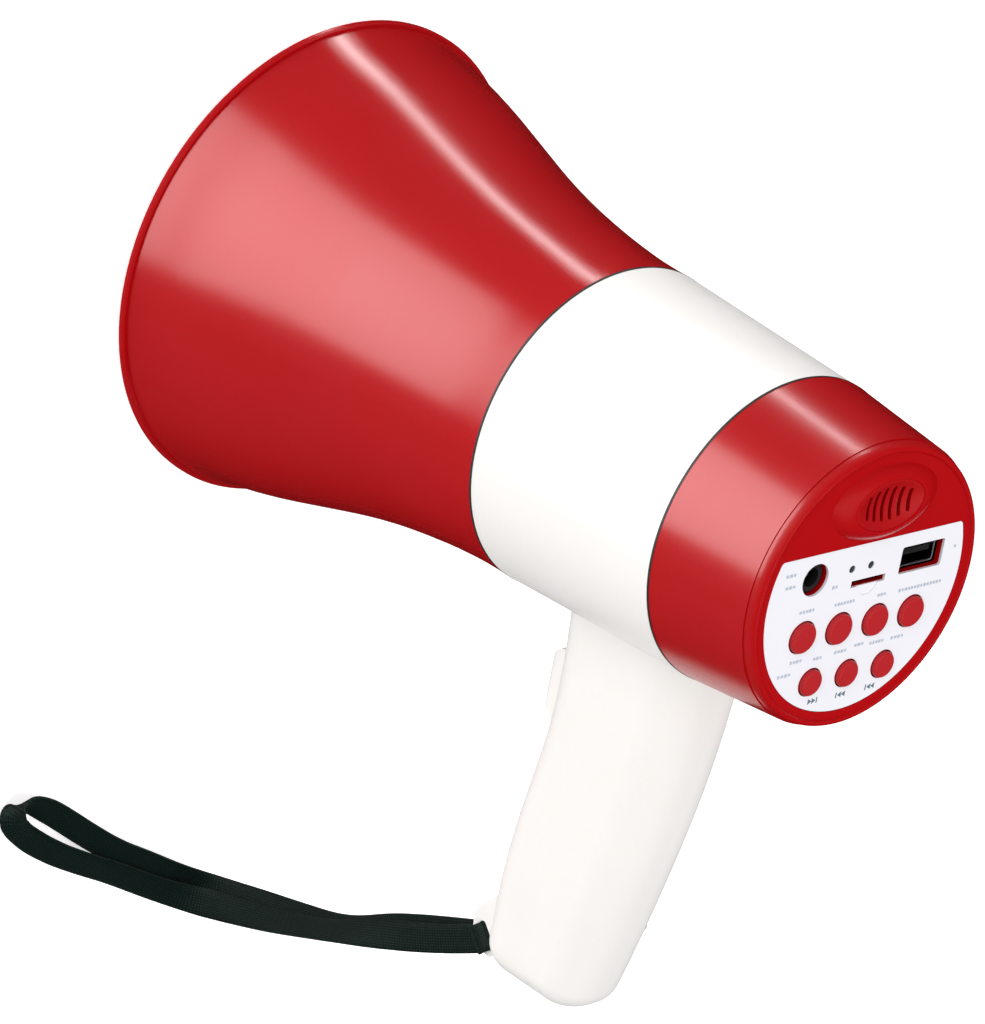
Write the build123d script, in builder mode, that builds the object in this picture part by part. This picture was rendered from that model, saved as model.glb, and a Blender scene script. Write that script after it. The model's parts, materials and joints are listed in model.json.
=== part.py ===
from build123d import *
import math
import os

# Handheld megaphone, standing on the mouth of its bell. Millimetres.
# The origin is the centre of the bell mouth, +Z runs along the horn's axis to the control panel,
# +Y runs down the handle, and +X is the left of the person who holds it.

# ---- driving dimensions ----
mouth_radius = 77.5  # half of the bell's 155 mm mouth
front_seam = 130.4  # height of the joint between bell and barrel
rear_seam = 203.4  # height of the joint between barrel and rear cap
face_height = 242.2  # height of the rear cap's flat face
neck_radius = 51.4  # barrel at the front seam
cap_radius = 48.4  # barrel at the rear seam
shell_wall = 2.2
gasket = 0.8
gasket_stand = 0.1  # how far a gasket stands out of its joint
slip = 0.2  # gap left round pieces that slide together

throat_radius = 11.0
tube_radius = 14.0
bulkhead_low = 124.0  # the bell's rear wall, which the driver is screwed to
bulkhead_top = 127.0
driver_base = 129.0  # front face of the driver's frame
driver_screw_ring = 33.0

rim_low = 239.3  # the cap's side ends here in a crisp edge, under a rounded rim
rim_top = 242.9
rim_radius = 44.9
crease_radius = 41.8  # where the rim drops to the flat face
face_wall = 2.6
chord = -14.4  # straight upper edge of the control panel's sheet
panel_radius = 39.4
panel_corner = 1.5
panel_floor = 241.3  # the sheet lies in a shallow recess of the face
panel_thickness = 0.8
upper_row = [(-22.1, 11.9), (-7.4, 11.9), (7.4, 11.9), (22.1, 11.9)]
lower_row = [(-14.8, 27.6), (0.0, 27.6), (14.8, 27.6)]
upper_button_radius = 4.8
lower_button_radius = 4.1
button_gap = 0.35
button_top = 243.5
button_travel = 0.8
jack_place = (21.5, -6.1)
usb_place = (-22.0, -5.6)
card_place = (-1.0, -1.7)
notch_radius = 4.4
jack_hole = 5.0
light_places = [(-0.9, -6.8), (6.8, -6.8)]
socket_top = 240.2  # the sockets stand back from the face
microphone_place = (-1.0, -26.8)
boss_top = 244.8

board_low = 226.0
board_thickness = 1.6
board_posts = [(30.0, -22.0), (-30.0, -22.0), (0.0, 41.6)]
cap_post_ring = 41.2
cap_post_angles = [30.0, 150.0, 270.0]
flange_low = 196.0  # inner flange of the barrel, which the cap and the amplifier hang from
flange_thickness = 2.5
amplifier_low = 184.0
spacer_ring = 38.0

handle_end = 175.5
handle_wall = 2.4
handle_rounding = 13.0
end_rounding = 9.5
# along Y: distance down the handle, height of the section's middle, half width, half depth
handle_sections = [
    (40.0, 169.0, 17.4, 27.6),
    (75.0, 168.2, 16.5, 26.2),
    (100.0, 165.2, 16.0, 25.8),
    (126.0, 160.4, 15.6, 25.4),
    (152.0, 156.2, 15.0, 23.6),
    (handle_end, 152.4, 14.2, 21.0),
]
handle_screws_at = [(72.0, 178.0), (100.0, 181.0), (148.0, 173.4)]
mount_screw_heights = [163.0, 184.0]
wire_hole_height = 174.0

pivot = (94.0, 144.5)  # Y and Z of the trigger's pin
pin_radius = 1.5
trigger_half_width = 8.5
trigger_front = 135.0
rib_low = 158.6
plunger_place = 84.0
spring_place = 74.0
battery_radius = 9.2
battery_from = 101.0
battery_length = 65.0
battery_height = 158.0

# strap lug at the front corner of the handle's foot: Y, Z and slant of its slot
eye = (172.4, 127.4)
eye_slant = 43.4
lug_half_thickness = 3.0

strap_width = 9.0
strap_thickness = 1.4

os.makedirs("parts", exist_ok=True)


def finish(part, name):
    """Label one finished piece and write it."""
    part.label = name
    export_step(part, f"parts/{name}.step")


def barrel_radius(height):
    """Outer radius of the tapered barrel at a height."""
    share = (height - front_seam - gasket) / (rear_seam - front_seam - gasket)
    return neck_radius + share * (cap_radius - neck_radius)


def polar(radius, degrees):
    """A point on a circle round the horn's axis."""
    angle = math.radians(degrees)
    return (radius * math.cos(angle), radius * math.sin(angle))


# ---- bell ----
lip_height = 2.6
bell_wall = 2.0
# radius of the flare at each height above the lip
flare = [(75.9, lip_height), (72.5, 17.7), (66.7, 39.8), (59.5, 65.3), (54.6, 90.0), (52.0, 112.0)]
spigot_radius = 48.5

with BuildPart() as bell:
    with BuildSketch(Plane.XZ):
        with BuildLine():
            outer = Spline(*flare, (neck_radius, front_seam), tangents=[(-0.3, 1), (0, 1)])
            step = Line(outer @ 1, (spigot_radius, front_seam))
            spigot = Polyline(
                step @ 1,
                (spigot_radius, front_seam + 5.0),
                (spigot_radius - bell_wall, front_seam + 5.0),
                (neck_radius - bell_wall - 1.2, 112.0),
            )
            inner = Spline(
                spigot @ 1,
                *[(radius - bell_wall, height) for radius, height in reversed(flare[:-1])],
            )
            Polyline(
                inner @ 1,
                (mouth_radius - 3.6, 0.0),
                (mouth_radius - 0.7, 0.0),
                (mouth_radius, 0.7),
                (mouth_radius, lip_height - 0.6),
                (mouth_radius - 0.6, lip_height),
                outer @ 0,
            )
        make_face()
    revolve(axis=Axis.Z)
    with BuildSketch(Plane.XY.offset(bulkhead_low)):
        Circle(neck_radius - 1.6)
        Circle(tube_radius + slip, mode=Mode.SUBTRACT)
    extrude(amount=bulkhead_top - bulkhead_low)
    with BuildSketch(Plane.XY.offset(bulkhead_top)):
        with PolarLocations(driver_screw_ring, 4, start_angle=45):
            Circle(4.0)
    extrude(amount=driver_base - bulkhead_top)
    with BuildSketch(Plane.XY.offset(driver_base)):
        with PolarLocations(driver_screw_ring, 4, start_angle=45):
            Circle(1.4)
    extrude(amount=-3.8, mode=Mode.SUBTRACT)
finish(bell.part, "bell")

# ---- throat tube: leads the sound forward from the driver ----
tube_end = 46.0
with BuildPart() as throat_tube:
    with BuildSketch(Plane.XZ):
        with BuildLine():
            Polyline(
                (throat_radius, tube_end),
                (tube_radius, tube_end),
                (tube_radius, bulkhead_top),
                (24.0, bulkhead_top),
                (24.0, driver_base),
                (throat_radius, driver_base),
                close=True,
            )
        make_face()
    revolve(axis=Axis.Z)
finish(throat_tube.part, "throat_tube")

# ---- reflector: turns the sound back round the throat tube ----
cup_nose = 24.0
cup_mouth = 62.0
cup_radius = 40.0
cup_wall = 2.0
collar_low = 50.0
with BuildPart() as reflector_cup:
    with BuildSketch(Plane.XZ):
        with BuildLine():
            Line((0, cup_nose), (8.0, cup_nose))
            Spline((8.0, cup_nose), (30.0, 31.0), (cup_radius, cup_mouth), tangents=[(1, 0), (0.1, 1)])
            Line((cup_radius, cup_mouth), (cup_radius - cup_wall, cup_mouth))
            Spline(
                (cup_radius - cup_wall, cup_mouth),
                (28.0, 33.0),
                (13.0, 27.4),
                tangents=[(-0.1, -1), (-1, 0)],
            )
            Line((13.0, 27.4), (0, 43.0))
            Line((0, 43.0), (0, cup_nose))
        make_face()
    revolve(axis=Axis.Z)
    with BuildSketch(Plane.XY.offset(collar_low)):
        Circle(tube_radius + 1.8)
        Circle(tube_radius, mode=Mode.SUBTRACT)
    extrude(amount=10.0)
    with BuildSketch(Plane.XY.offset(collar_low)):
        with PolarLocations(26.6, 4, start_angle=45):
            Rectangle(22.4, 2.0)
    extrude(amount=8.0)
finish(reflector_cup.part, "reflector_cup")

# ---- compression driver ----
frame_top = 133.0
magnet_low = 137.0
magnet_top = 147.0
diaphragm_seat = 132.4
with BuildPart() as driver_frame:
    with BuildSketch(Plane.XY.offset(driver_base)):
        Circle(37.0)
        Circle(throat_radius, mode=Mode.SUBTRACT)
        with PolarLocations(driver_screw_ring, 4, start_angle=45):
            Circle(1.7, mode=Mode.SUBTRACT)
    extrude(amount=frame_top - driver_base)
    with BuildSketch(Plane.XY.offset(diaphragm_seat)):
        Circle(20.4)
    extrude(amount=frame_top - diaphragm_seat, mode=Mode.SUBTRACT)
finish(driver_frame.part, "driver_frame")

with BuildPart() as diaphragm:
    with BuildSketch(Plane.XZ):
        with BuildLine():
            dome = TangentArc((0, frame_top + 2.5), (12.6, frame_top), tangent=(1, 0))
            hollow = TangentArc((0, frame_top + 2.0), (12.6, diaphragm_seat), tangent=(1, 0))
            Line(dome @ 0, hollow @ 0)
            Polyline(hollow @ 1, (20.2, diaphragm_seat), (20.2, frame_top), dome @ 1)
        make_face()
    revolve(axis=Axis.Z)
finish(diaphragm.part, "diaphragm")

with BuildPart() as voice_coil:
    with BuildSketch(Plane.XY.offset(frame_top)):
        Circle(13.4)
        Circle(12.6, mode=Mode.SUBTRACT)
    extrude(amount=6.0)
finish(voice_coil.part, "voice_coil")

with BuildPart() as top_plate:
    with BuildSketch(Plane.XY.offset(frame_top)):
        Circle(29.0)
        Circle(14.0, mode=Mode.SUBTRACT)
    extrude(amount=magnet_low - frame_top)
finish(top_plate.part, "top_plate")

with BuildPart() as magnet:
    with BuildSketch(Plane.XY.offset(magnet_low)):
        Circle(30.0)
        Circle(17.0, mode=Mode.SUBTRACT)
    extrude(amount=magnet_top - magnet_low)
finish(magnet.part, "magnet")

with BuildPart() as yoke:
    with BuildSketch(Plane.XY.offset(frame_top + 3.4)):
        Circle(11.8)
    extrude(amount=magnet_top - frame_top - 3.4)
    with BuildSketch(Plane.XY.offset(magnet_top)):
        Circle(29.0)
    extrude(amount=4.0)
    chamfer(yoke.faces().sort_by(Axis.Z)[-1].edges(), 0.8)
finish(yoke.part, "yoke")


def pan_screw(plane, head_radius, head_height, shank_radius, shank_length):
    """A pan-head screw with a cross recess: its head stands on the plane and its shank goes below it."""
    with BuildPart(mode=Mode.PRIVATE) as screw:
        with BuildSketch(plane):
            Circle(head_radius)
        extrude(amount=head_height)
        fillet(screw.edges().filter_by(GeomType.CIRCLE), head_height * 0.35)
        with BuildSketch(plane):
            Circle(shank_radius)
        extrude(amount=-shank_length)
        with BuildSketch(plane.offset(head_height)):
            Rectangle(head_radius * 1.1, 0.6)
            Rectangle(0.6, head_radius * 1.1)
        extrude(amount=-head_height * 0.5, mode=Mode.SUBTRACT)
    return screw.part


with BuildPart() as driver_screws:
    for turn in range(4):
        x, y = polar(driver_screw_ring, 45 + 90 * turn)
        add(pan_screw(Plane((x, y, frame_top)), 2.8, 2.0, 1.4, 7.4))
finish(driver_screws.part, "driver_screws")

# ---- gaskets and barrel ----
with BuildPart() as front_gasket:
    with BuildSketch(Plane.XY.offset(front_seam)):
        Circle(neck_radius + gasket_stand)
        Circle(spigot_radius + 0.2, mode=Mode.SUBTRACT)
    extrude(amount=gasket)
finish(front_gasket.part, "front_gasket")

cap_spigot = 45.8
with BuildPart() as rear_gasket:
    with BuildSketch(Plane.XY.offset(rear_seam)):
        Circle(cap_radius + gasket_stand)
        Circle(cap_spigot + 0.2, mode=Mode.SUBTRACT)
    extrude(amount=gasket)
finish(rear_gasket.part, "rear_gasket")

with BuildPart() as barrel:
    with BuildSketch(Plane.XZ):
        with BuildLine():
            Polyline(
                (neck_radius, front_seam + gasket),
                (cap_radius, rear_seam),
                (cap_radius - shell_wall, rear_seam),
                (neck_radius - shell_wall, front_seam + gasket),
                close=True,
            )
        make_face()
        with BuildLine():
            Polyline(
                (34.0, flange_low),
                (cap_radius - 1.2, flange_low),
                (cap_radius - 1.2, flange_low + flange_thickness),
                (34.0, flange_low + flange_thickness),
                close=True,
            )
        make_face()
    revolve(axis=Axis.Z)
    with Locations(*[(*polar(cap_post_ring, turn), flange_low) for turn in cap_post_angles]):
        Cylinder(1.7, 3 * flange_thickness, mode=Mode.SUBTRACT)
    with PolarLocations(spacer_ring, 4, start_angle=45):
        with Locations((0, 0, flange_low)):
            Cylinder(1.7, 3 * flange_thickness, mode=Mode.SUBTRACT)
    handle_holes = [(height, 1.7) for height in mount_screw_heights] + [(wire_hole_height, 3.5)]
    for height, radius in handle_holes:
        with BuildSketch(Plane.XZ.offset(-60)):
            with Locations((0, height)):
                Circle(radius)
        extrude(amount=25, mode=Mode.SUBTRACT)
finish(barrel.part, "barrel")

# ---- rear cap ----
cap_low = rear_seam + gasket
cap_bore = 44.2
face_under = face_height - face_wall
grille_low = face_under + 1.6
grille_length = 13.5  # half axes of the oval grille
grille_width = 7.8


def panel_outline(inset):
    """The control panel's outline, a circle cut by a chord, drawn smaller by the inset."""
    with BuildSketch(mode=Mode.PRIVATE) as outline:
        Circle(panel_radius - inset)
        with Locations((0, chord + inset - panel_radius)):
            Rectangle(3 * panel_radius, 2 * panel_radius, mode=Mode.SUBTRACT)
        fillet(outline.vertices().group_by(Axis.Y)[0], panel_corner)
    return outline.sketch


def panel_holes(extra, mode):
    """Holes of the buttons, sockets and lights, each wider all round by the extra."""
    with Locations(*upper_row):
        Circle(upper_button_radius + button_gap + extra, mode=mode)
    with Locations(*lower_row):
        Circle(lower_button_radius + button_gap + extra, mode=mode)
    with Locations(jack_place):
        Circle(jack_hole + extra, mode=mode)
    with Locations(*light_places):
        Circle(1.1 + extra, mode=mode)
    with Locations(usb_place):
        RectangleRounded(17.2 + 2 * extra, 8.4 + 2 * extra, 0.8, mode=mode)
    with Locations(card_place):
        Rectangle(13.6 + 2 * extra, 2.0 + 2 * extra, mode=mode)


with BuildPart() as rear_cap:
    with BuildSketch(Plane.XZ):
        with BuildLine():
            side = Line((cap_radius, cap_low), (rim_radius, rim_low))
            Line(side @ 1, (rim_radius - 0.35, rim_low))
            rim = Spline(
                (rim_radius - 0.35, rim_low),
                (rim_radius - 0.9, 241.8),
                (rim_radius - 2.1, rim_top),
                tangents=[(-0.05, 1), (-1, 0)],
            )
            Polyline(
                rim @ 1,
                (crease_radius + 0.5, rim_top - 0.1),
                (crease_radius, face_height),
                (0, face_height),
                (0, face_under),
                (cap_bore - 1.8, face_under),
                (cap_bore, board_low + 2.0),
                (cap_bore, cap_low + 2.0),
                (cap_spigot - 2.0, cap_low),
                (cap_spigot - 2.0, cap_low - 5.0),
                (cap_spigot, cap_low - 5.0),
                (cap_spigot, cap_low),
                side @ 0,
            )
        make_face()
    revolve(axis=Axis.Z)
    with BuildSketch(Plane.XY.offset(cap_low - 5.6)):
        for turn in cap_post_angles:
            with Locations(polar(cap_post_ring, turn)):
                Circle(3.4)
    extrude(amount=16.0)
    with BuildSketch(Plane.XY.offset(board_low + board_thickness)):
        with Locations(*board_posts):
            Circle(2.8)
    extrude(until=Until.NEXT)
    # boss of the microphone, a low oval mound with a dished top
    boss_steps = [(face_height - 0.2, 21.5, 11.8), (244.0, 17.6, 10.0), (boss_top, 14.6, 8.6)]
    for height, length, width in boss_steps:
        with BuildSketch(Plane.XY.offset(height)):
            with Locations(microphone_place):
                Ellipse(length, width)
    loft()
    with BuildSketch(Plane.XY.offset(grille_low)):
        with Locations(microphone_place):
            Ellipse(grille_length + 0.1, grille_width + 0.1)
    extrude(amount=4.0, mode=Mode.SUBTRACT)
    with BuildSketch(Plane.XY.offset(face_under)):
        with Locations(microphone_place):
            Ellipse(11.4, 5.7)
    extrude(amount=2.0, mode=Mode.SUBTRACT)
    # recess of the panel's sheet, and the holes through the face under it
    with BuildSketch(Plane.XY.offset(panel_floor)):
        add(panel_outline(0))
    extrude(amount=1.0, mode=Mode.SUBTRACT)
    with BuildSketch(Plane.XY.offset(face_under)):
        panel_holes(0, Mode.ADD)
    extrude(amount=face_wall, mode=Mode.SUBTRACT)
    with Locations(*[(*polar(cap_post_ring, turn), cap_low - 5.6) for turn in cap_post_angles]):
        Cylinder(1.3, 24.0, mode=Mode.SUBTRACT)
    with Locations(*[(x, y, board_low + board_thickness) for x, y in board_posts]):
        Cylinder(1.1, 16.0, mode=Mode.SUBTRACT)
finish(rear_cap.part, "rear_cap")

with BuildPart() as cap_screws:
    for turn in cap_post_angles:
        x, y = polar(cap_post_ring, turn)
        add(pan_screw(Plane((x, y, flange_low), z_dir=(0, 0, -1)), 2.6, 1.8, 1.3, 12.0))
finish(cap_screws.part, "cap_screws")

# ---- microphone ----
dish_depth = 2.0
grille_rim = 0.6
grille_top = boss_top - 0.1


def arc_radius(half_chord, depth):
    """Radius of the arc that sinks by the depth between the ends of its chord."""
    return (half_chord**2 + depth**2) / (2 * depth)


mic_x, mic_y = microphone_place
dish_low = grille_top - dish_depth
dish_end = arc_radius(grille_length - grille_rim, dish_depth)
dish_axis = dish_low + arc_radius(grille_width - grille_rim, dish_depth)
reach = grille_length + 1.0
reach_height = dish_low + dish_end - math.sqrt(dish_end**2 - reach**2)
slots = [(1.65, 10.6), (4.95, 9.6), (8.25, 7.4)]  # distance from the middle, and length
with BuildPart() as mic_grille:
    with BuildSketch(Plane.XY.offset(grille_low)):
        with Locations(microphone_place):
            Ellipse(grille_length, grille_width)
    extrude(amount=grille_top - grille_low)
    # the dished top: an arc turned about an axis above it
    with BuildSketch(Plane.XZ.offset(-mic_y)):
        with BuildLine():
            dish = ThreePointArc(
                (mic_x - reach, reach_height), (mic_x, dish_low), (mic_x + reach, reach_height)
            )
            Polyline(
                dish @ 1,
                (mic_x + reach, dish_axis),
                (mic_x - reach, dish_axis),
                dish @ 0,
            )
        make_face()
    revolve(axis=Axis((0, mic_y, dish_axis), (1, 0, 0)), mode=Mode.SUBTRACT)
    with BuildSketch(Plane.XY.offset(grille_low)):
        for away, length in slots:
            with Locations((mic_x - away, mic_y), (mic_x + away, mic_y)):
                SlotOverall(length, 1.3, rotation=90)
    extrude(amount=4.0, mode=Mode.SUBTRACT)
finish(mic_grille.part, "mic_grille")

capsule_radius = 4.0
with BuildPart() as microphone_capsule:
    with Locations((*microphone_place, face_height - 4.2)):
        Cylinder(capsule_radius, 6.0)
finish(microphone_capsule.part, "microphone_capsule")

with BuildPart() as microphone_boot:
    with BuildSketch(Plane.XY.offset(board_low + board_thickness)):
        with Locations(microphone_place):
            Circle(5.6)
    extrude(amount=face_under - board_low - board_thickness)
    with Locations((*microphone_place, face_height - 4.2)):
        Cylinder(capsule_radius, 6.0, mode=Mode.SUBTRACT)
finish(microphone_boot.part, "microphone_boot")

# ---- control panel ----
with BuildPart() as control_panel:
    with BuildSketch(Plane.XY.offset(panel_floor)):
        add(panel_outline(0.15))
        panel_holes(0.1, Mode.SUBTRACT)
    extrude(amount=panel_thickness)
    # finger notch beside the card slot
    with BuildSketch(Plane.XY.offset(panel_floor + panel_thickness)):
        with Locations(card_place):
            Circle(notch_radius)
        with Locations((card_place[0], card_place[1] - notch_radius)):
            Rectangle(3 * notch_radius, 2 * notch_radius, mode=Mode.SUBTRACT)
    extrude(amount=-panel_thickness / 2, mode=Mode.SUBTRACT)
finish(control_panel.part, "control_panel")

# ---- buttons: a cap, a flange under the panel and a stem over its switch ----
board_top = board_low + board_thickness
stem_end = board_top + 8.3
flange_top = face_under - 0.3


def make_button(place, radius):
    """One push button standing at its place on the panel."""
    with BuildPart(mode=Mode.PRIVATE) as button:
        with BuildSketch(Plane.XY.offset(flange_top - 1.0)):
            with Locations(place):
                Circle(radius + 1.1)
        extrude(amount=1.0)
        with BuildSketch(Plane.XY.offset(flange_top)):
            with Locations(place):
                Circle(radius)
        extrude(amount=button_top - flange_top)
        fillet(button.faces().sort_by(Axis.Z)[-1].edges(), 0.9)
        with BuildSketch(Plane.XY.offset(stem_end)):
            with Locations(place):
                Circle(1.6)
        extrude(amount=flange_top - 1.0 - stem_end)
    return button.part


for number, place in enumerate(upper_row, start=1):
    finish(make_button(place, upper_button_radius), f"upper_button_{number}")
for number, place in enumerate(lower_row, start=1):
    finish(make_button(place, lower_button_radius), f"lower_button_{number}")

# ---- control board and what it carries ----
with BuildPart() as control_board:
    with BuildSketch(Plane.XY.offset(board_low)):
        Circle(43.4)
        with Locations(*board_posts):
            Circle(1.5, mode=Mode.SUBTRACT)
    extrude(amount=board_thickness)
finish(control_board.part, "control_board")

with BuildPart() as board_screws:
    for x, y in board_posts:
        add(pan_screw(Plane((x, y, board_low), z_dir=(0, 0, -1)), 2.3, 1.5, 1.1, 8.0))
finish(board_screws.part, "board_screws")

with BuildPart() as tact_switches:
    with BuildSketch(Plane.XY.offset(board_top)):
        with Locations(*upper_row, *lower_row):
            RectangleRounded(6.0, 6.0, 0.4)
    extrude(amount=3.5)
    with BuildSketch(Plane.XY.offset(board_top + 3.5)):
        with Locations(*upper_row, *lower_row):
            Circle(1.6)
    extrude(amount=stem_end - button_travel - 0.1 - board_top - 3.5)
finish(tact_switches.part, "tact_switches")

usb_low = board_top + 1.0
with BuildPart() as usb_socket:
    with BuildSketch(Plane.XY.offset(board_top)):
        with Locations(usb_place):
            RectangleRounded(13.6, 6.2, 0.5)
    extrude(amount=socket_top - board_top)
    with BuildSketch(Plane.XY.offset(socket_top)):
        with Locations(usb_place):
            Rectangle(12.5, 5.1)
    extrude(amount=usb_low - socket_top, mode=Mode.SUBTRACT)
finish(usb_socket.part, "usb_socket")

with BuildPart() as usb_tongue:
    with BuildSketch(Plane.XY.offset(usb_low)):
        with Locations((usb_place[0], usb_place[1] - 1.0)):
            Rectangle(11.1, 1.8)
    extrude(amount=socket_top - usb_low - 0.8)
finish(usb_tongue.part, "usb_tongue")

with BuildPart() as card_socket:
    with BuildSketch(Plane.XY.offset(board_top)):
        with Locations(card_place):
            Rectangle(13.6, 2.4)
    extrude(amount=flange_top - board_top)
    with BuildSketch(Plane.XY.offset(flange_top)):
        with Locations(card_place):
            Rectangle(11.6, 1.2)
    extrude(amount=-9.0, mode=Mode.SUBTRACT)
finish(card_socket.part, "card_socket")

jack_bore = 2.9
jack_depth = 10.0
with BuildPart() as jack_socket:
    with BuildSketch(Plane.XY.offset(board_top)):
        with Locations(jack_place):
            RectangleRounded(10.0, 10.0, 0.8)
    extrude(amount=flange_top - board_top)
    with BuildSketch(Plane.XY.offset(flange_top)):
        with Locations(jack_place):
            Circle(jack_hole - 0.3)
    extrude(amount=socket_top - flange_top)
    fillet(jack_socket.faces().sort_by(Axis.Z)[-1].edges(), 0.5)
    with BuildSketch(Plane.XY.offset(socket_top)):
        with Locations(jack_place):
            Circle(jack_bore)
    extrude(amount=-jack_depth, mode=Mode.SUBTRACT)
finish(jack_socket.part, "jack_socket")

with BuildPart() as jack_pin:
    with BuildSketch(Plane.XY.offset(socket_top - jack_depth)):
        with Locations(jack_place):
            Circle(1.0)
    extrude(amount=8.2)
    fillet(jack_pin.faces().sort_by(Axis.Z)[-1].edges(), 0.5)
finish(jack_pin.part, "jack_pin")

with BuildPart() as indicator_lights:
    with BuildSketch(Plane.XY.offset(board_top)):
        with Locations(*light_places):
            Circle(1.5)
    extrude(amount=5.0)
    with BuildSketch(Plane.XY.offset(board_top + 5.0)):
        with Locations(*light_places):
            Circle(1.0)
    extrude(amount=panel_floor + 0.6 - board_top - 5.0)
finish(indicator_lights.part, "indicator_lights")

# ---- amplifier ----
amplifier_top = amplifier_low + board_thickness
with BuildPart() as amplifier_board:
    with BuildSketch(Plane.XY.offset(amplifier_low)):
        RectangleRounded(61.0, 61.0, 4.0)
        with PolarLocations(spacer_ring, 4, start_angle=45):
            Circle(1.6, mode=Mode.SUBTRACT)
    extrude(amount=board_thickness)
finish(amplifier_board.part, "amplifier_board")

with BuildPart() as board_spacers:
    with BuildSketch(Plane.XY.offset(amplifier_top)):
        with PolarLocations(spacer_ring, 4, start_angle=45):
            RegularPolygon(2.9, 6)
            Circle(1.25, mode=Mode.SUBTRACT)
    extrude(amount=flange_low - amplifier_top)
finish(board_spacers.part, "board_spacers")

with BuildPart() as amplifier_screws:
    for turn in range(4):
        x, y = polar(spacer_ring, 45 + 90 * turn)
        add(pan_screw(Plane((x, y, flange_low + flange_thickness)), 2.3, 1.5, 1.2, 7.0))
        add(pan_screw(Plane((x, y, amplifier_low), z_dir=(0, 0, -1)), 2.3, 1.5, 1.2, 6.0))
finish(amplifier_screws.part, "amplifier_screws")

with BuildPart() as amplifier_chip:
    with Locations((-14.0, 4.0, amplifier_low - 1.2)):
        Box(12.0, 14.0, 2.4)
finish(amplifier_chip.part, "amplifier_chip")

with BuildPart() as heat_sink:
    with Locations((-14.0, 4.0, amplifier_low - 3.4)):
        Box(22.0, 20.0, 2.0)
    with Locations((-14.0, 4.0, amplifier_low - 8.4)):
        with GridLocations(4.0, 0, 6, 1):
            Box(1.0, 20.0, 8.0)
finish(heat_sink.part, "heat_sink")

with BuildPart() as capacitors:
    with BuildSketch(Plane.XY.offset(amplifier_low)):
        with Locations((12.0, 18.0), (12.0, 4.0), (12.0, -10.0)):
            Circle(5.0)
    extrude(amount=-12.0)
    fillet(capacitors.faces().sort_by(Axis.Z)[0].edges(), 0.8)
finish(capacitors.part, "capacitors")


# ---- handle ----
def handle_solid(inset, last):
    """The handle's rounded body, shrunk all round by the inset, down to the last section."""
    with BuildPart(mode=Mode.PRIVATE) as body:
        for down, height, half_width, half_depth in handle_sections[:-1]:
            with BuildSketch(Plane((0, down, height), x_dir=(1, 0, 0), z_dir=(0, 1, 0))):
                RectangleRounded(
                    2 * (half_width - inset), 2 * (half_depth - inset), handle_rounding - inset
                )
        _, height, half_width, half_depth = handle_sections[-1]
        with BuildSketch(Plane((0, last, height), x_dir=(1, 0, 0), z_dir=(0, 1, 0))):
            RectangleRounded(2 * (half_width - inset), 2 * (half_depth - inset), handle_rounding - inset)
        loft()
        fillet(body.faces().sort_by(Axis.Y)[-1].edges(), end_rounding - inset)
    return body.part


def lug_outline(extra):
    """Side view of the strap's lug, whose root sits in the handle, larger all round by the extra."""
    Polygon(
        (154.0 - extra, 138.0 + extra),
        (154.0 - extra, 132.0),
        (164.5, 122.2),
        (168.0, 120.7),
        (171.8, 121.2),
        (178.2, 127.2),
        (178.6, 130.2),
        (172.0 + extra, 138.0 + extra),
        align=None,
    )


handle_outer = handle_solid(0, handle_end)
handle_inner = handle_solid(handle_wall, handle_end - handle_wall)

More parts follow.
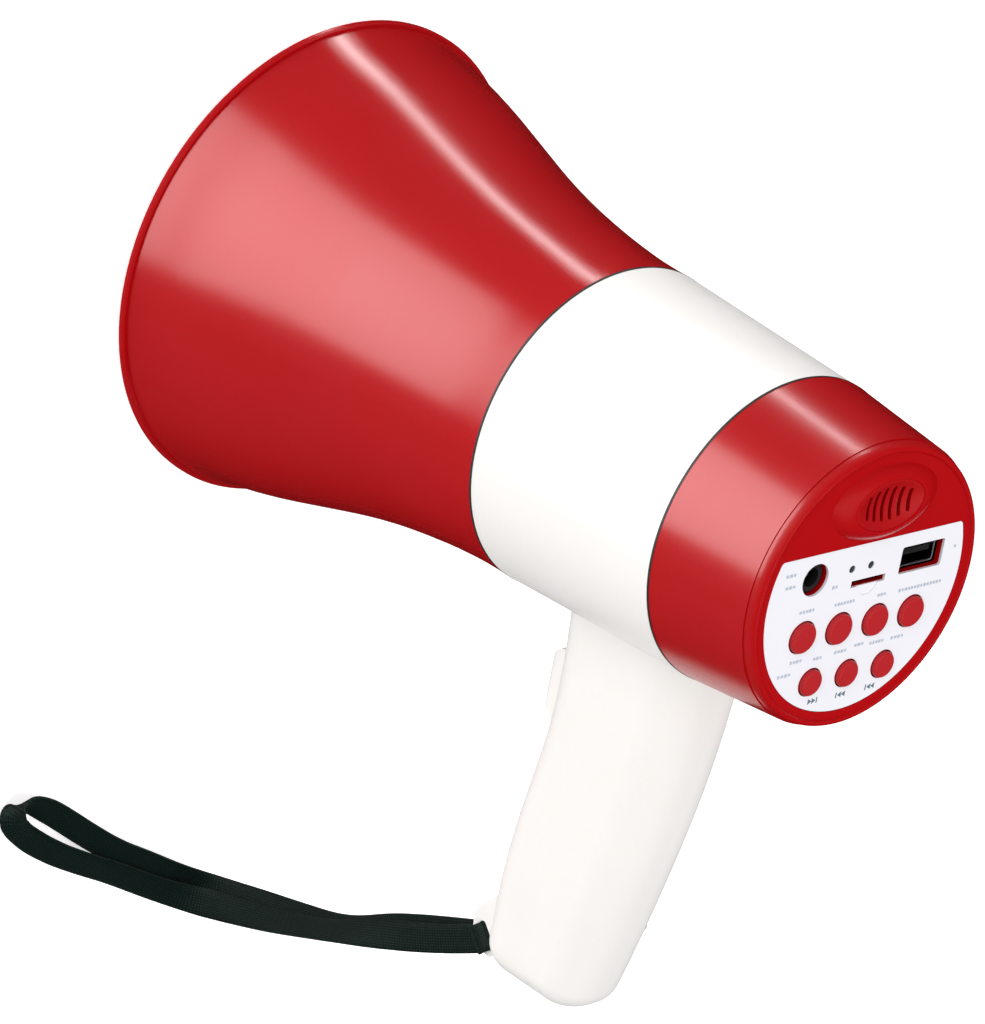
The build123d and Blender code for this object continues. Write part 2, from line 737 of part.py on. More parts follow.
with BuildPart() as handle:
    add(handle_outer)
    add(handle_inner, mode=Mode.SUBTRACT)
    # bosses of the joining screws, across the handle
    with BuildSketch(Plane.YZ.offset(-15.0)):
        with Locations(*handle_screws_at):
            Circle(3.2)
    extrude(amount=30.0)
    # bosses of the screws that hold the handle to the barrel
    with BuildSketch(Plane.XZ.offset(-40)):
        with Locations(*[(0, height) for height in mount_screw_heights]):
            Circle(3.4)
            Rectangle(32.0, 2.0)
    extrude(amount=-22)
    # rib that backs the trigger's spring and switch
    with Locations((0, 81.6, rib_low + 1.0)):
        Box(30.0, 24.2, 2.0)
    # ears of the trigger's pin
    with BuildSketch(Plane.YZ.offset(-11.0)):
        with Locations(pivot):
            Circle(3.5)
    extrude(amount=22.0)
    add(handle_outer, mode=Mode.INTERSECT)
    with Locations((0, pivot[0], pivot[1])):
        Box(2 * trigger_half_width + 1.2, 9.0, 12.0, mode=Mode.SUBTRACT)
    with BuildSketch(Plane.YZ.offset(-10.5)):
        with Locations(pivot):
            Circle(pin_radius)
    extrude(amount=21.0, mode=Mode.SUBTRACT)
    # slot that the trigger works in
    with BuildSketch(Plane.XY.offset(130.0)):
        with Locations((0, 82.3)):
            RectangleRounded(2 * trigger_half_width + 0.8, 33.0, 1.0)
    extrude(amount=17.0, mode=Mode.SUBTRACT)
    # slot of the strap's lug
    with BuildSketch(Plane.YZ.offset(-lug_half_thickness - 0.1)):
        lug_outline(0.1)
    extrude(amount=2 * lug_half_thickness + 0.2, mode=Mode.SUBTRACT)
    # holes of both sets of screws
    with BuildSketch(Plane.YZ.offset(-20.0)):
        with Locations(*handle_screws_at):
            Circle(2.8)
    extrude(amount=8.0, mode=Mode.SUBTRACT)
    with BuildSketch(Plane.YZ.offset(-13.0)):
        with Locations(*handle_screws_at):
            Circle(1.3)
    extrude(amount=22.0, mode=Mode.SUBTRACT)
    with BuildSketch(Plane.XZ.offset(-40)):
        with Locations(*[(0, height) for height in mount_screw_heights]):
            Circle(1.3)
    extrude(amount=-21, mode=Mode.SUBTRACT)
    # the barrel's surface cuts the top of the handle to a saddle
    with BuildSketch(Plane.XZ):
        with BuildLine():
            Polyline(
                (0, front_seam - 10),
                (barrel_radius(front_seam - 10), front_seam - 10),
                (barrel_radius(rear_seam + 10), rear_seam + 10),
                (0, rear_seam + 10),
                close=True,
            )
        make_face()
    revolve(axis=Axis.Z, mode=Mode.SUBTRACT)

for side, keep in [("left", Keep.TOP), ("right", Keep.BOTTOM)]:
    half = split(handle.part, bisect_by=Plane.YZ, keep=keep)
    finish(half, f"handle_{side}")

with BuildPart() as handle_screws:
    for y, z in handle_screws_at:
        add(pan_screw(Plane((-12.0, y, z), z_dir=(-1, 0, 0)), 2.5, 1.8, 1.3, 19.0))
finish(handle_screws.part, "handle_screws")

with BuildPart() as mount_screws:
    for height in mount_screw_heights:
        start = barrel_radius(height) - shell_wall - 0.25
        add(pan_screw(Plane((0, start, height), z_dir=(0, -1, 0)), 2.6, 1.8, 1.3, 12.0))
finish(mount_screws.part, "mount_screws")

# ---- trigger ----
with BuildPart() as trigger:
    with BuildSketch(Plane.YZ.offset(-trigger_half_width)):
        with BuildLine():
            front = Spline((66.6, 140.6), (69.5, 136.9), (75.0, trigger_front), (79.5, 135.4), (88.2, 138.0))
            Polyline(
                front @ 1,
                (89.4, 140.6),
                (91.0, 142.0),
                (97.4, 142.0),
                (97.8, 146.0),
                (95.6, 149.0),
                (64.4, 149.0),
                (64.4, 146.6),
                (66.6, 146.6),
                front @ 0,
            )
        make_face()
    extrude(amount=2 * trigger_half_width)
    with BuildSketch(Plane.YZ.offset(-trigger_half_width)):
        with Locations(pivot):
            Circle(pin_radius + 0.05)
    extrude(amount=2 * trigger_half_width, mode=Mode.SUBTRACT)
    # the front is rounded across
    with BuildSketch(Plane.XZ.offset(-60.0)):
        with Locations((0, trigger_front + 15.0)):
            RectangleRounded(2 * trigger_half_width, 30.0, 4.5)
    extrude(amount=-40.0, mode=Mode.INTERSECT)
finish(trigger.part, "trigger")

with BuildPart() as trigger_pin:
    with BuildSketch(Plane.YZ.offset(-10.4)):
        with Locations(pivot):
            Circle(pin_radius)
    extrude(amount=20.8)
finish(trigger_pin.part, "trigger_pin")

spring_low = 149.2
spring_radius = 3.0
with BuildPart() as trigger_spring:
    with BuildLine():
        coil = Helix(
            2.0, rib_low - spring_low - 0.8, spring_radius, center=(0, spring_place, spring_low + 0.4)
        )
    with BuildSketch(Plane(coil @ 0, z_dir=coil % 0)):
        Circle(0.35)
    sweep()
finish(trigger_spring.part, "trigger_spring")

switch_low = 152.0
with BuildPart() as switch_body:
    with Locations((0, 86.4, (switch_low + rib_low) / 2)):
        Box(6.4, 12.8, rib_low - switch_low)
    with BuildSketch(Plane.XY.offset(switch_low)):
        with Locations((0, plunger_place)):
            Circle(1.05)
    extrude(amount=5.0, mode=Mode.SUBTRACT)
finish(switch_body.part, "switch_body")

with BuildPart() as switch_plunger:
    with BuildSketch(Plane.XY.offset(149.2)):
        with Locations((0, plunger_place)):
            Circle(1.0)
    extrude(amount=5.4)
finish(switch_plunger.part, "switch_plunger")

# ---- battery ----
battery_to = battery_from + battery_length
across = Plane((0, battery_from, battery_height), x_dir=(1, 0, 0), z_dir=(0, 1, 0))
with BuildPart() as battery_cell:
    with BuildSketch(across):
        Circle(battery_radius)
    extrude(amount=battery_length)
    fillet(battery_cell.edges().filter_by(GeomType.CIRCLE), 0.8)
finish(battery_cell.part, "battery_cell")

tray_depth = 11.6
with BuildPart() as battery_tray:
    with Locations((0, (battery_from + battery_to) / 2, battery_height - tray_depth / 2 + 0.6)):
        Box(21.2, battery_length + 5.0, tray_depth)
    with BuildSketch(across.offset(-0.6)):
        Circle(battery_radius + 0.1)
        with Locations((0, 6.0)):
            Rectangle(2 * battery_radius + 0.2, 12.0)
    extrude(amount=battery_length + 1.2, mode=Mode.SUBTRACT)
finish(battery_tray.part, "battery_tray")

with BuildPart() as battery_contacts:
    for down in (battery_from - 0.5, battery_to + 0.1):
        with BuildSketch(Plane((0, down, battery_height - 1.0), x_dir=(1, 0, 0), z_dir=(0, 1, 0))):
            Rectangle(9.0, 9.0)
        extrude(amount=0.4)
finish(battery_contacts.part, "battery_contacts")

# ---- lug of the wrist strap, held between the handle's halves ----
with BuildPart() as strap_lug:
    with BuildSketch(Plane.YZ.offset(-lug_half_thickness)):
        lug_outline(0)
        with Locations(eye):
            RectangleRounded(9.6, 3.2, 1.4, rotation=eye_slant, mode=Mode.SUBTRACT)
    extrude(amount=2 * lug_half_thickness)
finish(strap_lug.part, "strap_lug")


# ---- leads inside, and the wrist strap ----
def corner_radii(points):
    """Radius of the arc at each corner: as large as the two runs beside it allow."""
    radii = []
    for before, here, after in zip(points, points[1:], points[2:]):
        arriving = Vector(*here) - Vector(*before)
        leaving = Vector(*after) - Vector(*here)
        half_turn = math.radians(arriving.get_angle(leaving)) / 2
        radii.append(0.45 * min(arriving.length, leaving.length) / math.tan(half_turn))
    return radii


def lead(name, points, radius):
    """One insulated lead along its route."""
    with BuildPart(mode=Mode.PRIVATE) as wire:
        with BuildLine():
            route = FilletPolyline(*points, radius=corner_radii(points))
        with BuildSketch(Plane(route @ 0, z_dir=route % 0)):
            Circle(radius)
        sweep()
    finish(wire.part, name)


speaker_route = [
    (33, -4, frame_top),
    (33, -4, 143),
    (38, 0, 156),
    (36, 5, 168),
    (27, 6, 175),
    (27, 6, amplifier_low),
]
battery_route = [
    (0, 98.5, 152),
    (0, 95.2, 152),
    (0, 95.2, 163),
    (-2, 86, 170.5),
    (-1, 70, 170.5),
    (0, 57, wire_hole_height),
    (0, 43, wire_hole_height),
    (2, 26, 176),
    (2, 26, amplifier_low),
]
microphone_route = [
    (0, -26.4, board_low),
    (0, -26.4, 217),
    (2, -22, 207),
    (-1, -17, 199),
    (0, -16, 193),
    (0, -16, amplifier_top),
]
lead("speaker_lead", speaker_route, 0.9)
lead("battery_lead", battery_route, 0.9)
lead("microphone_lead", microphone_route, 0.7)

# the strap's loop: down from the lug to the floor, round on the floor and up again
strap_route = [
    (2.4, 175.6, 123.4),
    (4.0, 183.4, 108.6),
    (8.0, 195.5, 78.0),
    (9.0, 202.8, 61.5),
    (10.0, 208.6, 44.4),
    (11.0, 213.5, 26.8),
    (14.0, 217.0, 11.5),
    (26.8, 212.9, 5.2),
    (45.3, 203.1, 5.2),
    (58.9, 196.9, 5.2),
    (72.4, 190.0, 5.2),
    (83.8, 183.4, 5.2),
    (94.0, 175.2, 5.2),
    (89.8, 167.6, 5.2),
    (73.4, 176.4, 5.2),
    (60.2, 185.9, 5.2),
    (47.0, 194.7, 5.2),
    (34.0, 201.4, 5.2),
    (20.9, 208.6, 5.2),
    (9.0, 214.5, 6.5),
    (4.0, 214.9, 14.8),
    (2.0, 212.8, 26.0),
    (0.5, 208.5, 44.0),
    (-1.0, 203.8, 61.9),
    (-2.0, 192.4, 85.1),
    (-2.5, 181.8, 108.5),
    (-2.4, 175.6, 123.4),
]
strap_area = strap_width * strap_thickness
strap_radius = math.sqrt(strap_area / math.pi)
strap_radii = corner_radii(strap_route)
print("strap corner radii", [round(radius, 1) for radius in strap_radii])
with BuildPart() as wrist_strap:
    with BuildLine():
        loop = FilletPolyline(*strap_route, radius=strap_radii)
    with BuildSketch(Plane(loop @ 0, z_dir=loop % 0)):
        Circle(strap_radius)
    sweep()
print("strap length", round(loop.length, 1), "area times length", round(strap_area * loop.length))
print("strap volume", round(wrist_strap.part.volume))
finish(wrist_strap.part, "wrist_strap")
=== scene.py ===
import json

import bmesh
import bpy
from mathutils import Matrix, Vector


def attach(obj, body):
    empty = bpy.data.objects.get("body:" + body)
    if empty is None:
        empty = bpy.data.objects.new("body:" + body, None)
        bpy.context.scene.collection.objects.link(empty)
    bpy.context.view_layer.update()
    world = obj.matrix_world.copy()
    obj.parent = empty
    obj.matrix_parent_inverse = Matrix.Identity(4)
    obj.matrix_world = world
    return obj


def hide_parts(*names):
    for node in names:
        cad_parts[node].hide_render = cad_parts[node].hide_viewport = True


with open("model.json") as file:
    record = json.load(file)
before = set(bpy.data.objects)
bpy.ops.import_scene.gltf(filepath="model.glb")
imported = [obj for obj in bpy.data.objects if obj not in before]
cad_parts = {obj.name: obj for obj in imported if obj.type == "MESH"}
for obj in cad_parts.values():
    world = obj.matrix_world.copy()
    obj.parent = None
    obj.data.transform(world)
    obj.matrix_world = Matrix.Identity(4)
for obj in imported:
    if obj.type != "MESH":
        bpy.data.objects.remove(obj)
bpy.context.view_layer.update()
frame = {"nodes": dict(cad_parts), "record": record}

# Looks of the handheld megaphone, in metres, in the frame of the CAD model: the bell's mouth stands
# on the floor, +Z runs up the horn's axis to the control panel and +Y runs down the handle.

MM = 0.001


# ---------------------------------------------------------------- camera

CAMERA_PLACE = Vector((1.370, -0.800, 1.390))
CAMERA_FORWARD = Vector((-0.6630, 0.4087, -0.6273))
CAMERA_UP = Vector((-0.1626, -0.8965, -0.4122))
LENS = 242.0


def make_camera():
    """A long lens that looks down at the control panel, turned as the picture is framed."""
    back = -CAMERA_FORWARD.normalized()
    right = CAMERA_UP.cross(back).normalized()
    up = back.cross(right)
    turned = Matrix((right, up, back)).transposed().to_4x4()
    data = bpy.data.cameras.new("camera")
    data.lens = LENS
    data.sensor_width = 36.0
    data.clip_start = 0.1
    data.clip_end = 20.0
    camera = bpy.data.objects.new("camera", data)
    camera.matrix_world = Matrix.Translation(CAMERA_PLACE) @ turned
    bpy.context.scene.collection.objects.link(camera)
    bpy.context.scene.camera = camera


make_camera()


# ---------------------------------------------------------------- materials


def new_material(name):
    """An empty node material with its Principled shader."""
    material = bpy.data.materials.new(name)
    material.use_nodes = True
    nodes = material.node_tree.nodes
    nodes.clear()
    output = nodes.new("ShaderNodeOutputMaterial")
    shader = nodes.new("ShaderNodeBsdfPrincipled")
    material.node_tree.links.new(shader.outputs["BSDF"], output.inputs["Surface"])
    return material, nodes, material.node_tree.links, shader


def noise(nodes, links, coordinates, scale, detail=3.0, roughness=0.5):
    """A noise texture over object coordinates, with its scale in features per metre."""
    texture = nodes.new("ShaderNodeTexNoise")
    texture.inputs["Scale"].default_value = scale
    texture.inputs["Detail"].default_value = detail
    texture.inputs["Roughness"].default_value = roughness
    links.new(coordinates, texture.inputs["Vector"])
    return texture.outputs["Fac"]


def spread(nodes, links, value, low, high):
    """A value between 0 and 1 taken to between low and high."""
    remap = nodes.new("ShaderNodeMapRange")
    remap.inputs["From Min"].default_value = 0.0
    remap.inputs["From Max"].default_value = 1.0
    remap.inputs["To Min"].default_value = low
    remap.inputs["To Max"].default_value = high
    links.new(value, remap.inputs["Value"])
    return remap.outputs["Result"]


def tint(nodes, links, value, dark, light):
    """A colour between dark and light."""
    mix = nodes.new("ShaderNodeMix")
    mix.data_type = "RGBA"
    mix.inputs["A"].default_value = (*dark, 1.0)
    mix.inputs["B"].default_value = (*light, 1.0)
    links.new(value, mix.inputs["Factor"])
    return mix.outputs["Result"]


def moulded(name, dark, light, roughness, grain, bump, coat=0.0, subsurface=0.0, shine=0.5):
    """Moulded plastic: faint flow in its colour, a fine grain and an uneven gloss."""
    material, nodes, links, shader = new_material(name)
    place = nodes.new("ShaderNodeTexCoord").outputs["Object"]
    flow = noise(nodes, links, place, 28.0)
    links.new(tint(nodes, links, flow, dark, light), shader.inputs["Base Color"])
    wear = noise(nodes, links, place, 36.0, detail=1.5)
    links.new(spread(nodes, links, wear, *roughness), shader.inputs["Roughness"])
    height = nodes.new("ShaderNodeBump")
    height.inputs["Strength"].default_value = bump
    height.inputs["Distance"].default_value = 0.0002
    links.new(noise(nodes, links, place, grain, detail=2.0), height.inputs["Height"])
    links.new(height.outputs["Normal"], shader.inputs["Normal"])
    shader.inputs["Specular IOR Level"].default_value = shine
    shader.inputs["Coat Weight"].default_value = coat
    shader.inputs["Coat Roughness"].default_value = 0.18
    shader.inputs["Subsurface Weight"].default_value = subsurface
    shader.inputs["Subsurface Radius"].default_value = (0.004, 0.003, 0.002)
    return material


def metal(name, dark, light, roughness, stretch=(1.0, 1.0, 1.0)):
    """Metal with brushed or cast unevenness."""
    material, nodes, links, shader = new_material(name)
    coordinates = nodes.new("ShaderNodeTexCoord")
    mapping = nodes.new("ShaderNodeMapping")
    mapping.inputs["Scale"].default_value = stretch
    links.new(coordinates.outputs["Object"], mapping.inputs["Vector"])
    place = mapping.outputs["Vector"]
    cast = noise(nodes, links, place, 120.0)
    links.new(tint(nodes, links, cast, dark, light), shader.inputs["Base Color"])
    wear = noise(nodes, links, place, 700.0)
    links.new(spread(nodes, links, wear, *roughness), shader.inputs["Roughness"])
    height = nodes.new("ShaderNodeBump")
    height.inputs["Strength"].default_value = 0.15
    height.inputs["Distance"].default_value = 0.0001
    links.new(noise(nodes, links, place, 1500.0), height.inputs["Height"])
    links.new(height.outputs["Normal"], shader.inputs["Normal"])
    shader.inputs["Metallic"].default_value = 1.0
    return material


RED_DARK = (0.400, 0.0010, 0.0028)
RED_LIGHT = (0.435, 0.0016, 0.0040)
WHITE_DARK = (0.82, 0.80, 0.775)
WHITE_LIGHT = (0.86, 0.84, 0.815)
BLACK_DARK = (0.012, 0.012, 0.013)
BLACK_LIGHT = (0.022, 0.022, 0.023)
BOARD_DARK = (0.015, 0.12, 0.04)
BOARD_LIGHT = (0.02, 0.17, 0.06)

looks = {
    "red_shell": moulded(
        "red_shell", RED_DARK, RED_LIGHT, (0.24, 0.28), 900.0, 0.05, coat=0.12, shine=0.38
    ),
    "red_grille": moulded(
        "red_grille", RED_DARK, RED_LIGHT, (0.34, 0.42), 900.0, 0.05, coat=0.2, shine=0.4
    ),
    "red_reflector": moulded("red_reflector", RED_DARK, RED_LIGHT, (0.28, 0.36), 900.0, 0.05, coat=0.2),
    "red_button": moulded(
        "red_button", (0.42, 0.010, 0.014), (0.48, 0.014, 0.018), (0.38, 0.48), 2200.0, 0.10, shine=0.4
    ),
    "white_shell": moulded(
        "white_shell", WHITE_DARK, WHITE_LIGHT, (0.34, 0.44), 1800.0, 0.10, subsurface=0.1
    ),
    "panel_sheet": moulded(
        "panel_sheet", (0.80, 0.80, 0.85), (0.83, 0.83, 0.88), (0.35, 0.45), 2600.0, 0.08
    ),
    "black_seal": moulded(
        "black_seal", (0.012, 0.012, 0.012), (0.02, 0.02, 0.02), (0.55, 0.7), 2600.0, 0.3
    ),
    "film": moulded("film", (0.62, 0.52, 0.30), (0.68, 0.58, 0.36), (0.3, 0.45), 1200.0, 0.2),
    "circuit_board": moulded("circuit_board", BOARD_DARK, BOARD_LIGHT, (0.3, 0.4), 1200.0, 0.2),
    "black_component": moulded("black_component", BLACK_DARK, BLACK_LIGHT, (0.4, 0.55), 2600.0, 0.2),
    "plunger_plastic": moulded(
        "plunger_plastic", (0.45, 0.03, 0.02), (0.5, 0.04, 0.03), (0.35, 0.5), 2000.0, 0.1
    ),
    "cell_wrap": moulded("cell_wrap", (0.02, 0.07, 0.26), (0.03, 0.09, 0.32), (0.25, 0.35), 1500.0, 0.1),
    "tray_plastic": moulded(
        "tray_plastic", (0.015, 0.015, 0.015), (0.03, 0.03, 0.03), (0.45, 0.6), 2200.0, 0.2
    ),
    "lead_insulation": moulded(
        "lead_insulation", (0.30, 0.01, 0.01), (0.36, 0.015, 0.015), (0.35, 0.5), 2200.0, 0.1
    ),
    "light_lens": moulded(
        "light_lens", (0.030, 0.040, 0.042), (0.045, 0.060, 0.062), (0.10, 0.16), 900.0, 0.02
    ),
    "driver_casting": metal("driver_casting", (0.42, 0.43, 0.45), (0.55, 0.56, 0.58), (0.4, 0.6)),
    "copper_coil": metal("copper_coil", (0.55, 0.24, 0.10), (0.70, 0.33, 0.15), (0.25, 0.4), (1, 1, 12)),
    "steel_plate": metal("steel_plate", (0.42, 0.43, 0.45), (0.55, 0.56, 0.58), (0.25, 0.4)),
    "ferrite": moulded("ferrite", (0.03, 0.03, 0.033), (0.05, 0.05, 0.055), (0.5, 0.7), 1800.0, 0.3),
    "screw_steel": metal("screw_steel", (0.38, 0.38, 0.40), (0.52, 0.52, 0.54), (0.25, 0.4)),
    "socket_metal": metal("socket_metal", (0.60, 0.60, 0.61), (0.70, 0.70, 0.71), (0.18, 0.3)),
    "capsule_metal": metal("capsule_metal", (0.50, 0.50, 0.51), (0.62, 0.62, 0.63), (0.25, 0.4)),
    "sink_metal": metal("sink_metal", (0.50, 0.51, 0.52), (0.62, 0.63, 0.64), (0.3, 0.5), (1, 8, 1)),
    "spacer_brass": metal("spacer_brass", (0.60, 0.42, 0.15), (0.72, 0.52, 0.20), (0.2, 0.35)),
}


WEBBING_DARK = (0.0012, 0.0075, 0.0058)
WEBBING_LIGHT = (0.0060, 0.0260, 0.0200)


def webbing():
    """Black-green woven webbing: ribs across the band and yarns along it, from the band's own UVs."""
    material, nodes, links, shader = new_material("strap_webbing")
    uv = nodes.new("ShaderNodeTexCoord").outputs["UV"]
    weave = nodes.new("ShaderNodeTexWave")
    weave.wave_type = "BANDS"
    weave.bands_direction = "Y"
    weave.inputs["Scale"].default_value = 300.0
    weave.inputs["Distortion"].default_value = 0.6
    links.new(uv, weave.inputs["Vector"])
    yarns = nodes.new("ShaderNodeTexWave")
    yarns.wave_type = "BANDS"
    yarns.bands_direction = "X"
    yarns.inputs["Scale"].default_value = 380.0
    yarns.inputs["Distortion"].default_value = 0.4
    links.new(uv, yarns.inputs["Vector"])
    both = nodes.new("ShaderNodeMath")
    both.operation = "MULTIPLY"
    links.new(weave.outputs["Fac"], both.inputs[0])
    links.new(yarns.outputs["Fac"], both.inputs[1])
    colour = tint(nodes, links, both.outputs[0], WEBBING_DARK, WEBBING_LIGHT)
    links.new(colour, shader.inputs["Base Color"])
    height = nodes.new("ShaderNodeBump")
    height.inputs["Strength"].default_value = 0.6
    height.inputs["Distance"].default_value = 0.0003
    links.new(both.outputs[0], height.inputs["Height"])
    links.new(height.outputs["Normal"], shader.inputs["Normal"])
    shader.inputs["Roughness"].default_value = 0.62
    shader.inputs["Specular IOR Level"].default_value = 0.2
    shader.inputs["Sheen Weight"].default_value = 0.04
    shader.inputs["Sheen Roughness"].default_value = 0.4
    return material


looks["strap_webbing"] = webbing()

for node in frame["record"]["subparts"]:
    piece = frame["nodes"][node["node"]]
    piece.data.materials.clear()
    piece.data.materials.append(looks[node["material_slot"]])


# ---------------------------------------------------------------- wrist strap

STRAP_WIDTH = 9.0 * MM
STRAP_THICKNESS = 1.4 * MM
# the route's points, in millimetres, as the strap's solid has them
STRAP_ROUTE = [
    (2.4, 175.6, 123.4),
    (4.0, 183.4, 108.6),
    (8.0, 195.5, 78.0),
    (9.0, 202.8, 61.5),
    (10.0, 208.6, 44.4),
    (11.0, 213.5, 26.8),
    (14.0, 217.0, 11.5),
    (26.8, 212.9, 5.2),
    (45.3, 203.1, 5.2),
    (58.9, 196.9, 5.2),
    (72.4, 190.0, 5.2),
    (83.8, 183.4, 5.2),
    (94.0, 175.2, 5.2),
    (89.8, 167.6, 5.2),
    (73.4, 176.4, 5.2),
    (60.2, 185.9, 5.2),
    (47.0, 194.7, 5.2),
    (34.0, 201.4, 5.2),
    (20.9, 208.6, 5.2),
    (9.0, 214.5, 6.5),
    (4.0, 214.9, 14.8),
    (2.0, 212.8, 26.0),
    (0.5, 208.5, 44.0),
    (-1.0, 203.8, 61.9),
    (-2.0, 192.4, 85.1),
    (-2.5, 181.8, 108.5),
    (-2.4, 175.6, 123.4),
]


def smooth_line(name, points, steps=12):
    """Points along the NURBS spline that has the given control points."""
    curve = bpy.data.curves.new(name, "CURVE")
    curve.dimensions = "3D"
    curve.resolution_u = steps
    spline = curve.splines.new("NURBS")
    spline.points.add(len(points) - 1)
    for point, place in zip(spline.points, points):
        point.co = (*place, 1.0)
    spline.order_u = 3
    spline.use_endpoint_u = True
    carrier = bpy.data.objects.new(name, curve)
    bpy.context.scene.collection.objects.link(carrier)
    mesh = bpy.data.meshes.new_from_object(carrier)
    line = [vertex.co.copy() for vertex in mesh.vertices]
    bpy.data.meshes.remove(mesh)
    bpy.data.objects.remove(carrier)
    bpy.data.curves.remove(curve)
    kept = line[:1]
    for point in line[1:]:
        if (point - kept[-1]).length > 1e-5:
            kept.append(point)
    return kept


def distances(line):
    """How far along the line each of its points is."""
    travelled = [0.0]
    for before, after in zip(line, line[1:]):
        travelled.append(travelled[-1] + (after - before).length)
    return travelled


def direction(line, index):
    """The line's direction at one of its points, from the points before and after it."""
    ahead = line[min(index + 1, len(line) - 1)] - line[max(index - 1, 0)]
    return ahead.normalized()


# the band's section with its softened edges, as shares of its width and of its thickness
BAND_SECTION = [
    (-0.5, -0.30), (-0.46, -0.5), (-0.25, -0.5), (0, -0.5), (0.25, -0.5), (0.46, -0.5), (0.5, -0.30),
    (0.5, 0.30), (0.46, 0.5), (0.25, 0.5), (0, 0.5), (-0.25, 0.5), (-0.46, 0.5), (-0.5, 0.30),
]


def band_mesh(name, line, sides, width, thickness):
    """A flat band along a line; sides gives the direction of its width at each point."""
    mesh = bpy.data.meshes.new(name)
    shape = bmesh.new()
    layer = shape.loops.layers.uv.new("UVMap")
    rings = []
    travelled = distances(line)
    for index, (point, side) in enumerate(zip(line, sides)):
        normal = side.cross(direction(line, index)).normalized()
        corners = [point + side * (u * width) + normal * (v * thickness) for u, v in BAND_SECTION]
        rings.append([shape.verts.new(corner) for corner in corners])
    count = len(BAND_SECTION)
    for index in range(len(rings) - 1):
        for step in range(count):
            following = (step + 1) % count
            near, far = rings[index], rings[index + 1]
            face = shape.faces.new((near[step], near[following], far[following], far[step]))
            face.smooth = True
            here, there = BAND_SECTION[step][0], BAND_SECTION[following][0]
            across = (here, there, there, here)
            along = (travelled[index], travelled[index], travelled[index + 1], travelled[index + 1])
            for loop, u, v in zip(face.loops, across, along):
                loop[layer].uv = (u * width, v)
    shape.faces.new(list(reversed(rings[0])))
    shape.faces.new(rings[-1])
    bmesh.ops.recalc_face_normals(shape, faces=shape.faces)
    shape.to_mesh(mesh)
    shape.free()
    piece = bpy.data.objects.new(name, mesh)
    bpy.context.scene.collection.objects.link(piece)
    return piece


# the lug's slot: its middle, the direction along its outer bar and the way out of the handle
EYE = Vector((0, 172.4, 127.4)) * MM
BAR = Vector((0, 0.727, 0.687))
OUT = Vector((0, 0.687, -0.727))
# the direction of the webbing's width where it is twisted the most, half way down to the floor
TWISTED = Vector((0.92, 0.36, 0.15))
# and where it lies on the floor, leaning a little; at the loop's far end this stands it on its edge
LAID = Vector((0.39, 0.83, -0.38))
# how far along the strap a twist is spread, to each side
TWIST_REACH = 0.016
# the heights at which the width starts to turn from LAID to TWISTED and from TWISTED to BAR, and the
# heights over which it does so
TWIST_FROM, TWIST_SPAN = 0.012, 0.050
BAR_FROM, BAR_SPAN = 0.062, 0.038
# the x beyond which the loop turns, and how much of what is beyond it the webbing is drawn in by
LOOP_TURN = 0.070
LOOP_DRAWN_IN = 0.08
# half of the run through the lug's slot, as x and the way out from the slot's middle, in millimetres
EYE_ROUTE = [(3.0, 5.4), (4.0, 4.2), (4.3, 2.6), (4.1, 1.0), (3.2, 0.1), (1.5, -0.1)]


def band_sides(line, wanted):
    """Each point's width direction, square to the line, with twists spread over TWIST_REACH."""
    aheads = [direction(line, index) for index in range(len(line))]
    square = [(side - ahead * side.dot(ahead)).normalized() for side, ahead in zip(wanted, aheads)]
    travelled = distances(line)
    sides = []
    for here, ahead in zip(travelled, aheads):
        total = Vector((0, 0, 0))
        for there, side in zip(travelled, square):
            total += side * max(0.0, 1.0 - abs(here - there) / TWIST_REACH)
        sides.append((total - ahead * total.dot(ahead)).normalized())
    return sides


def make_strap_turn():
    """The short run of webbing that goes through the lug's slot and round its bar."""
    half = [Vector((away, 0, 0)) * MM + EYE + OUT * (out * MM) for away, out in EYE_ROUTE]
    line = half + [Vector((-point.x, point.y, point.z)) for point in reversed(half)]
    turn = band_mesh("wrist_strap_turn", line, [BAR] * len(line), STRAP_WIDTH, STRAP_THICKNESS)
    turn.data.materials.append(looks["strap_webbing"])
    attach(turn, "housing")


def make_strap():
    """The wrist strap: one band of webbing that leaves the lug, turns on the floor and comes back."""
    line = smooth_line("strap_line", [Vector(point) * MM for point in STRAP_ROUTE])
    wanted_sides = []
    for point in line:
        # flat against the lug's bar at the top, twisted half way down, leaning on the floor
        if point.z > BAR_FROM:
            wanted = TWISTED.lerp(BAR, min(1.0, (point.z - BAR_FROM) / BAR_SPAN))
        else:
            wanted = LAID.lerp(TWISTED, max(0.0, (point.z - TWIST_FROM) / TWIST_SPAN))
        wanted_sides.append(wanted)
    sides = band_sides(line, wanted_sides)
    # the webbing's middle is drawn in where the loop turns, because it stands on its edge there
    drawn = [
        Vector((point.x - max(0.0, point.x - LOOP_TURN) * LOOP_DRAWN_IN, point.y, point.z))
        for point in line
    ]
    strap = band_mesh("wrist_strap_band", drawn, sides, STRAP_WIDTH, STRAP_THICKNESS)
    strap.data.materials.append(looks["strap_webbing"])
    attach(strap, "housing")
    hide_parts("wrist_strap")


make_strap()
make_strap_turn()


# ---------------------------------------------------------------- print on the control panel

PRINT_HEIGHT = 242.12  # just above the sheet, in millimetres
PRINT_THICKNESS = 0.04
